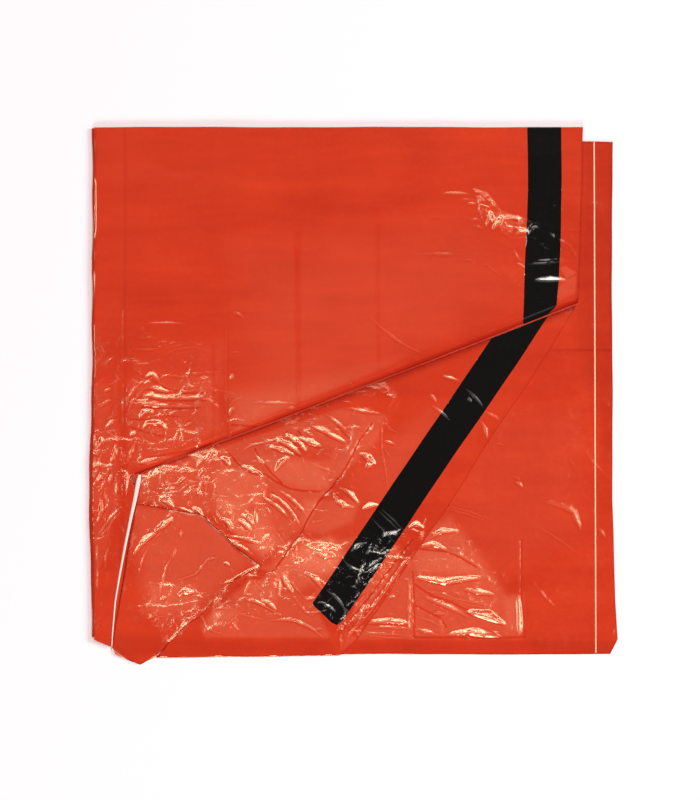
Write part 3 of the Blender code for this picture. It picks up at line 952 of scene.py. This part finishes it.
def corner_surface(points):
    """The swung corner's film, which is crushed all over but for its hollows."""
    film = Relief(points, CORNER_LEVEL)
    off = off_line(points, LIP_TAIL, LIP_HEAD)[0]
    film.base -= LIP_DIP * np.exp(-np.maximum(off, 0) / LIP_DIP_REACH)
    film.shade += lip_shade(points)
    film.dips((corner_over_flap, -1.6, 14), (flap_over_corner[1:-1], 1.2, 9), (CORNER_TAIL, 3.4, 13))
    patches = film.crushed(0.1, CORNER_CRUSH)
    glowing = np.maximum.reduce([film.within(places, 18) for places in GLOWING])
    film.crush = np.clip(film.crush + 0.4 * glowing, 0, 1)
    film.facets(np.maximum(patches["upper"], patches["lower"]), size=42, height=1.8, turn=28, seed=31)
    film.facets(np.ones(len(points)), size=62, height=0.8, turn=12, seed=36)
    film.paint_light_and_shade(CORNER_PAINTED_LIGHT_AND_SHADE)
    for groups in (UNDER_LIP_GLINTS, FAN_GLINTS, CORNER_LEFT_GLINTS, HOLLOW_GLINTS, BAND_END_GLINTS):
        film.glints(groups)
    film.glints(BESIDE_BAND_GLINTS, ends=0.2)
    film.creases(CORNER_CREASES)
    film.crumples(CORNER_CRUMPLES)
    return film


def flap_surface(points):
    """The small flap's film."""
    film = Relief(points, FLAP_LEVEL)
    film.dips((corner_over_flap[2:], 1.8, 8), (flap_over_corner, -1.6, 9), (FLAP_TIP, 3.0, 9))
    film.crushed(0.1, FLAP_CRUSH)
    film.facets(np.ones(len(points)), size=44, height=1.2, turn=5, seed=41)
    film.paint_light_and_shade(FLAP_PAINTED_LIGHT_AND_SHADE)
    # The corner's painted shadow on the flap, along its border
    film.shadow_line(corner_over_flap, 0.45, 3)
    film.glints(FLAP_GLINTS)
    film.crumples(FLAP_CRUMPLES)
    return film


HIDDEN_CRUSH = 0.25


def plain_surface(level, seed, wave, cover=None):
    """A hidden film at a level in millimetres, which stays under the film that covers it."""
    def surface(points):
        film = Relief(points, level)
        film.swell(size=90, height=wave, seed=seed)
        film.facets(np.ones(len(points)), size=60, height=wave, turn=seed, seed=seed)
        if cover is not None:
            film.base = np.minimum(film.base, cover(points).base - FILM_GAP)
        film.crush += HIDDEN_CRUSH
        return film
    return surface


# Finishes

class Value:
    """A shader socket that can be used in sums."""

    def __init__(self, tree, socket):
        self.tree, self.socket = tree, socket

    def sum(self, operation, *values):
        """One step of arithmetic on sockets or numbers."""
        node = self.tree.nodes.new("ShaderNodeMath")
        node.operation = operation
        for socket, value in zip(node.inputs, values):
            if isinstance(value, Value):
                self.tree.links.new(value.socket, socket)
            else:
                socket.default_value = value
        return Value(self.tree, node.outputs[0])

    def __add__(self, other):
        return self.sum("ADD", self, other)

    def __sub__(self, other):
        return self.sum("SUBTRACT", self, other)

    def __rsub__(self, other):
        return self.sum("SUBTRACT", other, self)

    def __mul__(self, other):
        return self.sum("MULTIPLY", self, other)

    __radd__ = __add__
    __rmul__ = __mul__

    def clamped(self):
        return self.sum("MINIMUM", self.sum("MAXIMUM", self, 0.0), 1.0)

    def vector(self, operation, *others):
        """One step of arithmetic on vectors, of which this is the first."""
        node = self.tree.nodes.new("ShaderNodeVectorMath")
        node.operation = operation
        for socket, value in zip(node.inputs, (self, *others)):
            if isinstance(value, Value):
                self.tree.links.new(value.socket, socket)
            else:
                socket.default_value = value
        return Value(self.tree, next(socket for socket in node.outputs if socket.enabled))


class Finish:
    """A material, with one method that adds every node other than sums."""

    def __init__(self, name, **settings):
        self.material = bpy.data.materials.new(name)
        self.material.use_nodes = True
        self.tree = self.material.node_tree
        self.shader = self.tree.nodes["Principled BSDF"]
        for key, value in settings.items():
            self.shader.inputs[key.replace("_", " ")].default_value = value

    def add(self, kind, settings=None, output=0, **sockets):
        """Adds a node and gives one of its outputs."""
        node = self.tree.nodes.new(kind)
        for key, value in (settings or {}).items():
            if key == "stops":
                for stop, (place, colour) in zip(node.color_ramp.elements, value):
                    stop.position, stop.color = place, colour
            else:
                setattr(node, key, value)
        for key, value in sockets.items():
            name = key.replace("_", " ")
            socket = next(s for s in node.inputs if s.enabled and s.name == name)
            if isinstance(value, Value):
                self.tree.links.new(value.socket, socket)
            else:
                socket.default_value = value
        outputs = [socket for socket in node.outputs if socket.enabled]
        return Value(self.tree, outputs[output])

    def feed(self, **sockets):
        """Links values to the shader's inputs."""
        for key, value in sockets.items():
            self.tree.links.new(value.socket, self.shader.inputs[key.replace("_", " ")])


# Heights of the bump's parts in metres
CRINKLE_HEIGHT, STREAK_HEIGHT, WAVE_HEIGHT, GRAIN_HEIGHT = 0.0006, 0.0011, 0.0003, 0.000008
# The streaks' direction and stretch, and how far they wander
STREAK_TURN = math.radians(35)
STREAK_STRETCH, STREAK_WANDER = (0.6, 1.5, 1.0), (0.02, 0.02, 0.0)


def film_finish(name, pale, deep, crest, hollow, roughness, shine=2.2, tint=(1.0, 0.92, 0.6, 1.0)):
    """Glossy film. Its colour drifts a little, takes painted light and shade from its shade values, pales
    along crests as a painted highlight and darkens in hollows as painted shade, and it creases where it is
    crushed.
    """
    finish = Finish(name, IOR=shine, Specular_Tint=tint)
    place = finish.add("ShaderNodeTexCoord", output=3)
    crush = finish.add("ShaderNodeAttribute", {"attribute_name": "crush"}, output=2)
    fold = finish.add("ShaderNodeAttribute", {"attribute_name": "fold"}, output=2)
    drift = finish.add("ShaderNodeTexNoise", Vector=place, Scale=7.0, Detail=3.0, Roughness=0.55)
    mottle = finish.add("ShaderNodeTexNoise", Vector=place, Scale=140.0, Detail=2.0)
    level = finish.add("ShaderNodeMapping", Vector=place, Scale=(2.4, 16.0, 1.0))
    smears = finish.add("ShaderNodeTexNoise", Vector=level, Scale=1.6, Detail=4.0, Roughness=0.6)
    tone = (drift * 0.9 + smears * 0.9 + mottle * 0.2 - 0.46).clamped()
    colour = finish.add("ShaderNodeMix", {"data_type": "RGBA"}, output=0, Factor=tone, A=deep, B=pale)
    shade = finish.add("ShaderNodeAttribute", {"attribute_name": "shade"}, output=2)
    # Painted highlight along crests and painted light where the shade is below nought; painted shade in
    # hollows and where it is above nought
    painted_crest_light = (fold * -0.6 - shade - 0.06).clamped()
    painted_hollow_shade = (fold * 0.5 + shade - 0.05).clamped()
    colour = finish.add("ShaderNodeMix", {"data_type": "RGBA"}, Factor=painted_crest_light, A=colour, B=crest)
    colour = finish.add("ShaderNodeMix", {"data_type": "RGBA"}, Factor=painted_hollow_shade, A=colour, B=hollow)
    wander = finish.add("ShaderNodeTexNoise", Vector=place, Scale=22.0, Detail=1.0, output=1)
    crinkle = finish.add(
        "ShaderNodeTexNoise", {"noise_type": "RIDGED_MULTIFRACTAL"}, Vector=place, Scale=34.0, Detail=4.0,
        Roughness=0.5, Lacunarity=2.1, Offset=1.0, Gain=1.2)
    wave = finish.add("ShaderNodeTexNoise", Vector=place, Scale=14.0, Detail=1.0)
    bent = wander.vector("MULTIPLY_ADD", STREAK_WANDER, place)
    drawn = finish.add("ShaderNodeMapping", Vector=bent, Rotation=(0, 0, STREAK_TURN), Scale=STREAK_STRETCH)
    streaks = finish.add(
        "ShaderNodeTexNoise", {"noise_type": "RIDGED_MULTIFRACTAL"}, Vector=drawn, Scale=16.0, Detail=5.0,
        Roughness=0.55, Lacunarity=2.0, Offset=0.9, Gain=1.4)
    grain = finish.add("ShaderNodeTexNoise", Vector=place, Scale=420.0, Detail=2.0)
    relief = crinkle * crush * CRINKLE_HEIGHT + streaks * crush * STREAK_HEIGHT
    relief = relief + wave * WAVE_HEIGHT + grain * GRAIN_HEIGHT
    normal = finish.add("ShaderNodeBump", Strength=1.0, Distance=1.0, Height=relief)
    rough = mottle * 0.06 + (roughness - 0.03)
    finish.feed(Base_Color=colour, Roughness=rough, Normal=normal)
    return finish.material


# Each film's colours: pale and deep, which it drifts between, then the painted highlight of crests and the
# painted shade of hollows
outer_film = film_finish(
    "outer_film", (0.84, 0.058, 0.019, 1), (0.60, 0.026, 0.008, 1), (1.0, 0.22, 0.12, 1),
    (0.38, 0.006, 0.002, 1), 0.12)
inner_film = film_finish(
    "inner_film", (0.66, 0.05, 0.018, 1), (0.56, 0.03, 0.012, 1), (0.9, 0.2, 0.12, 1),
    (0.4, 0.01, 0.004, 1), 0.2)
band_ink = film_finish(
    "band_ink", (0.005, 0.004, 0.004, 1), (0.003, 0.0025, 0.0025, 1), (0.3, 0.29, 0.28, 1),
    (0.002, 0.002, 0.002, 1), 0.08, shine=2.15, tint=(1.0, 0.98, 0.95, 1.0))
# The weld's bead is coloured pale as a painted highlight
weld_highlight_film = film_finish(
    "weld_highlight_film", (1.0, 0.60, 0.38, 1), (0.95, 0.46, 0.28, 1), (1.0, 0.7, 0.45, 1), (0.8, 0.3, 0.12, 1), 0.3)
# The crease's bead is coloured white as a painted highlight
crease_highlight_film = film_finish(
    "crease_highlight_film", (1.0, 0.84, 0.82, 1), (0.95, 0.68, 0.68, 1), (1.0, 0.9, 0.88, 1), (0.8, 0.4, 0.4, 1), 0.4)

# The sizes of the grids' faces, and how far a band stands off its film
MOUTH_CELL, CORNER_CELL, FLAP_CELL, FOOT_CELL = 5.2 * MM, 1.45 * MM, 1.3 * MM, 5.4 * MM
HIDDEN_CELL, UNDER_CELL = 7 * MM, 9 * MM
BAND_LIFT = 0.15 * MM


def finished(piece, material, slot, body, *nodes):
    """Gives a piece its material and body, and hides the solids that it stands for."""
    piece.data.materials.clear()
    piece.data.materials.append(material)
    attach(piece, body)
    if nodes:
        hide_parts(*nodes)


def make_film(name, nodes, body, outline, surface, outer=False, cell=HIDDEN_CELL,
              turns=(), border=None, finer=(), band=None):
    """A sheet of film, cut to the outline that it has as it lies flat, with the band on it if it has one.

    A band is its name, its solid's name and its outline. It lies on an outer film and under a hidden one.
    """
    creases = [row for turn in turns for row in turn_rows(*turn)]
    if band:
        creases += sides_of(band[2])
    sheet = grid_of_film(name, outline, cell, finer, creases)
    middles = face_middles(sheet)
    lay(sheet, surface, turns, border)
    if not outer:
        # A hidden film has no turns, so its band is cut from it as it lies
        middles = face_middles(sheet)
    material, slot = (outer_film, "outer_film") if outer else (inner_film, "inner_film")
    finished(sheet, material, slot, body, *nodes)
    bands = []
    if band:
        band_name, node, band_edge = band
        bands.append(printed(band_name, sheet, middles, band_edge, BAND_LIFT if outer else -BAND_LIFT))
        finished(bands[0], band_ink, "band", body, node)


# What a turn takes up for its radius, and the film past each turn
TURN_FILM = math.pi - 1
SIDE_MARGIN = TURN_FILM * SIDE_TURN + 5 * MM
LIP_MARGIN = TURN_FILM * LIP_TURN + 9 * MM

# The mouth half, with the lip that is turned under

tail, lip, head = mouth_outline[0:2], mouth_outline[2:4], mouth_outline[4:6]
mouth_fine = (
    path(80, 310, 250, 310, 335, 372, 335, 412, 140, 490, 118, 660, 80, 660),
    path(430, 180, 590, 180, 590, 312, 335, 412, 335, 372, 358, 305, 405, 240))
make_film(
    "mouth_outer_sheet", ("mouth_outer_film", "mouth_side_fold", "lip_fold"), "mouth_half",
    widened(mouth_outline, (SIDE_MARGIN, 0, LIP_MARGIN, 0, SIDE_MARGIN, 0)), mouth_surface,
    outer=True, cell=MOUTH_CELL,
    turns=((*lip, LIP_TURN), (*head, SIDE_TURN), (*tail, SIDE_TURN)), border=mouth_outline,
    finer=mouth_fine, band=("mouth_band", "mouth_band_outer", band_outline))
make_film(
    "mouth_inner_sheet", ("mouth_inner_film",), "mouth_half",
    widened(mouth_outline, (0, 0, -10 * MM, 0, 0, 0)), plain_surface(5.6, 51, 0.3, mouth_surface),
    band=("mouth_inner_band", "mouth_band_inner", band_outline))

# The swung corner

corner_side = (at(*CORNER_HEEL), at(*mouth_of_corner[0]), SIDE_TURN)
at_side = [np.allclose(point, corner_side[0]) for point in corner_outline]
make_film(
    "corner_outer_sheet", ("corner_outer_film", "corner_side_fold"), "mouth_corner",
    widened(corner_outline, np.where(at_side, SIDE_MARGIN, 0)), corner_surface,
    outer=True, cell=CORNER_CELL, turns=(corner_side,), border=corner_outline,
    band=("corner_band", "corner_band_outer", corner_band_outline))
make_film(
    "corner_inner_sheet", ("corner_inner_film",), "mouth_corner", corner_outline,
    plain_surface(3.0, 52, 0.2, corner_surface),
    band=("corner_inner_band", "corner_band_inner", corner_band_outline))

# The film between the lip and the corner

BRIDGE_WIDTH, BRIDGE_HEIGHT = 3.2 * MM, 2.9 * MM
BRIDGE_STEPS, BRIDGE_ROWS = 120, 9
lip_away = outward(*lip)
bridge_run = np.linspace(lip[0], lip[1], BRIDGE_STEPS)
bridge = strip("lip_bridge", [
    np.column_stack((bridge_run + lip_away * off, np.full(BRIDGE_STEPS, BRIDGE_HEIGHT)))
    for off in np.linspace(0, BRIDGE_WIDTH, BRIDGE_ROWS)])
bridge.data.materials.append(inner_film)
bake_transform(bridge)

# The tuck: two leaves and the turn between them, under the lip

TUCK_TURN, TUCK_LEAF = 0.8 * MM, 60 * MM
make_film(
    "tuck_sheet", ("tuck_lower_leaf", "tuck_upper_leaf", "tuck_fold"), "mouth_half",
    widened(tuck_outline, (0, 0, TUCK_LEAF, 0)), plain_surface(4.6, 53, 0.1),
    turns=((tuck_outline[2], tuck_outline[3], TUCK_TURN),))

# The flap

make_film(
    "flap_outer_sheet", ("flap_outer_film",), "tuck_flap", flap_outline, flap_surface,
    outer=True, cell=FLAP_CELL, border=flap_outline)
make_film(
    "flap_inner_sheet", ("flap_inner_film",), "tuck_flap", flap_outline,
    plain_surface(3.4, 54, 0.1, flap_surface))

# The crease: a bead along the flap's fold, coloured white as a painted highlight

CREASE_LINE = (
    139.7, 474.7, 137.2, 488, 134.8, 500.7, 131.3, 516, 125.7, 543, 119.4, 576.5, 115.2, 602, 112.6, 632.6,
    111.8, 646.7)
# Its half width in millimetres, by the number of a point on the line
CREASE_WIDTHS = (0, 0.5, 3, 5, 8), (2.4, 3.8, 2.6, 1.6, 0.8)
CREASE_HEIGHT = 1.1 * MM
CREASE_STEPS = 60
line = path(*CREASE_LINE)
runs = np.linspace(0, len(line) - 1, CREASE_STEPS)
middle = np.column_stack([np.interp(runs, range(len(line)), line[:, k]) for k in (0, 1)])
across = np.gradient(middle, axis=0)
across = np.column_stack((-across[:, 1], across[:, 0])) / np.linalg.norm(across, axis=1)[:, None]
half_width = np.interp(runs, *CREASE_WIDTHS) * MM
offsets = np.linspace(-1, 1, 7)
places = middle[:, None] + across[:, None] * (offsets[:, None] * half_width[:, None, None])
height = mouth_surface(middle).height[:, None] + CREASE_HEIGHT * np.sqrt(1 - 0.9 * offsets**2)
crease = strip("crease_highlight_bead", np.concatenate((places, height[..., None]), axis=2))
finished(crease, crease_highlight_film, "crease", "mouth_half", "crease_fold")

# The foot half. Three sides of its outline are turned under.

FOOT_FOLDED = (0, 1, 7)
FOOT_TURN, FOOT_MARGIN = 0.7 * MM, 4 * MM
foot_fine = (path(455, 345, 640, 345, 640, 680, 330, 680, 350, 610),)
make_film(
    "foot_over_sheet", ("foot_over_film", "foot_tail_side_fold", "foot_head_side_fold"), "foot_half",
    widened(foot_outline, [FOOT_MARGIN if i in FOOT_FOLDED else 0 for i in range(len(foot_outline))]),
    foot_surface, outer=True, cell=FOOT_CELL,
    turns=[(foot_outline[i], foot_outline[i + 1], FOOT_TURN) for i in FOOT_FOLDED],
    border=foot_outline, finer=foot_fine)
make_film(
    "foot_under_sheet", ("foot_under_film",), "foot_half", foot_outline, plain_surface(0.4, 55, 0.1),
    cell=UNDER_CELL)

# The weld near the foot edge: a low bead, coloured pale as a painted highlight

WELD_HEAD, WELD_TAIL = (594.3, 141.6), (596, 653)
WELD_HALF_WIDTH, WELD_HEIGHT, WELD_STEPS = 1.1 * MM, 0.35 * MM, 260
weld_places = np.linspace(at(*WELD_HEAD), at(*WELD_TAIL), WELD_STEPS)
offsets = np.linspace(-1, 1, 5)
rows = weld_places[:, None] + np.column_stack((offsets * WELD_HALF_WIDTH, np.zeros(len(offsets))))
height = foot_surface(rows.reshape(-1, 2)).height.reshape(rows.shape[:2])
height = height + WELD_HEIGHT * np.sqrt(1 - 0.85 * offsets**2)
weld = strip("foot_weld_bead", np.concatenate((rows, height[..., None]), axis=2))
finished(weld, weld_highlight_film, "weld", "foot_half", "foot_weld")

# The film that rolls round the centre fold, outside and inside

ROLL_EDGE = 1.8
ROLL_DROP = 0.4 * MM
ROLL_SWELL = 2.4 * MM
# Each roll's heights and its bulge in millimetres. The outer one goes up to the mouth film.
ROLLS = (
    ("centre_fold_roll", 0.4, None, 4.0, outer_film, "outer_film"),
    ("centre_fold_inner_roll", 1.5, 5.6, 1.8, inner_film, "inner_film"))
# Places down the photograph: the rolls' ends, and where they are blended
ROLL_TAIL, ROLL_HEAD, BLEND_DOWN = 637, 128, 400
ROLL_STEPS, ROLL_ROWS = 170, 15


def fold_roll(name, low, high, bulge):
    """Film that goes round from a low height at the centre fold to a high one."""
    places = np.linspace(at(FOLD, ROLL_TAIL), at(FOLD, ROLL_HEAD), ROLL_STEPS)
    top = mouth_surface(places).height - ROLL_DROP if high is None else np.full(len(places), high * MM)
    angles = np.linspace(-math.pi / 2, math.pi / 2, ROLL_ROWS)
    at_swell = np.exp(-((places[:, 1] - at(*SWELL_PLACE)[1]) / SWELL_REACH[1]) ** 2)
    middle, half = (top + low * MM) / 2, (top - low * MM) / 2
    wave = bulge * MM * (1 + 0.1 * np.sin(places[:, 1] * 57 + 1)) + ROLL_SWELL * at_swell
    swayed = places + sway(places)
    rows = []
    for angle in angles:
        out, up = math.cos(angle) ** ROLL_EDGE, math.copysign(abs(math.sin(angle)) ** ROLL_EDGE, angle)
        rows.append(np.column_stack((swayed[:, 0] - wave * out, swayed[:, 1], middle + half * up)))
    return strip(name, rows)


for name, low, high, bulge, material, slot in ROLLS:
    roll = fold_roll(name, low, high, bulge)
    roll.data.materials.append(material)
    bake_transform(roll)

# The floor, the lamps and the camera

FLOOR_SIZE, FLOOR_GAP = 60, 0.0001
# The floor's colour, and the light in it that the camera alone sees
FLOOR_COLOUR, FLOOR_GLOW = (0.63, 0.95, 0.99, 1), (0.385, 0.035, 0.055, 1)
bpy.ops.object.select_all(action="DESELECT")
bpy.ops.mesh.primitive_grid_add(
    x_subdivisions=2, y_subdivisions=2, size=FLOOR_SIZE, location=(0, 0, -FLOOR_GAP))
floor = bpy.context.object
floor.name = "floor"
floor_finish = Finish("floor", Base_Color=FLOOR_COLOUR, Roughness=0.9, Specular_IOR_Level=0.0)
seen = floor_finish.add("ShaderNodeLightPath", output=0)
glow = floor_finish.add("ShaderNodeEmission", Color=FLOOR_GLOW, Strength=1.0)
both = floor_finish.add("ShaderNodeAddShader")
tree = floor_finish.tree
tree.links.new(floor_finish.shader.outputs[0], both.socket.node.inputs[0])
tree.links.new(glow.socket, both.socket.node.inputs[1])
choose = floor_finish.add("ShaderNodeMixShader")
tree.links.new(seen.socket, choose.socket.node.inputs[0])
tree.links.new(floor_finish.shader.outputs[0], choose.socket.node.inputs[1])
tree.links.new(both.socket, choose.socket.node.inputs[2])
tree.links.new(choose.socket, tree.nodes["Material Output"].inputs[0])
floor.data.materials.append(floor_finish.material)

world = bpy.data.worlds.new("studio")
bpy.context.scene.world = world
world.use_nodes = True
background = world.node_tree.nodes["Background"].inputs
background["Color"].default_value = (1, 1, 1, 1)
background["Strength"].default_value = 0.03

LAMP_UNIT = 2.5
LAMP_COLOUR = (1.0, 0.97, 0.92)
# Brightness by direction in degrees: a high ring of lamps, and dimmer ones inside it
RING_LAMPS = {0: 8.6, 45: 9, 90: 8.6, 135: 7.5, 180: 6}
DIM_LAMPS = {0: 1.5, 90: 1.5, 180: 0.7}


def lamp(name, turn, off, height, width, deep, brightness):
    """A soft lamp that points at the pack from a direction given in degrees, at a distance and a height.

    All of its sizes are in lamp units.
    """
    off, height, width, deep = (size * LAMP_UNIT for size in (off, height, width, deep))
    light = bpy.data.lights.new(name, "AREA")
    light.shape, light.size, light.size_y = "RECTANGLE", width, deep
    light.color = LAMP_COLOUR
    light.energy = brightness * math.pi * width * deep
    body = bpy.data.objects.new(name, light)
    body.visible_camera = False
    bpy.context.scene.collection.objects.link(body)
    angle = math.radians(turn)
    body.location = (off * math.cos(angle), off * math.sin(angle), height)
    body.rotation_euler = body.location.to_track_quat("Z", "Y").to_euler()


for turn, brightness in RING_LAMPS.items():
    lamp(f"ring_{turn}", turn, off=2.2, height=5.0, width=1.8, deep=0.5, brightness=brightness)
for turn, brightness in DIM_LAMPS.items():
    lamp(f"dim_{turn}", turn, off=1.5, height=5.0, width=2.2, deep=0.7, brightness=brightness)
lamp("key", 12, off=4.3, height=2.5, width=1.9, deep=1.9, brightness=16.5)
lamp("front", -100, off=4.3, height=2.5, width=1.8, deep=1.8, brightness=12.5)

# The camera looks straight down on the photograph's middle, and its view is as high as the photograph
CAMERA_HEIGHT, PACK_TOP = 6.0, 0.006
SENSOR = 36
PHOTO_MIDDLE = (350, 400)
bpy.ops.object.select_all(action="DESELECT")
view = bpy.data.cameras.new("camera")
camera = bpy.data.objects.new("camera", view)
bpy.context.scene.collection.objects.link(camera)
camera.location = (*at(*PHOTO_MIDDLE), CAMERA_HEIGHT)
view.sensor_width = SENSOR
view.lens = SENSOR / 2 * (CAMERA_HEIGHT - PACK_TOP) / (PHOTO_MIDDLE[1] * PIXEL)
bpy.context.scene.camera = camera
bpy.context.scene.view_settings.view_transform = "Standard"
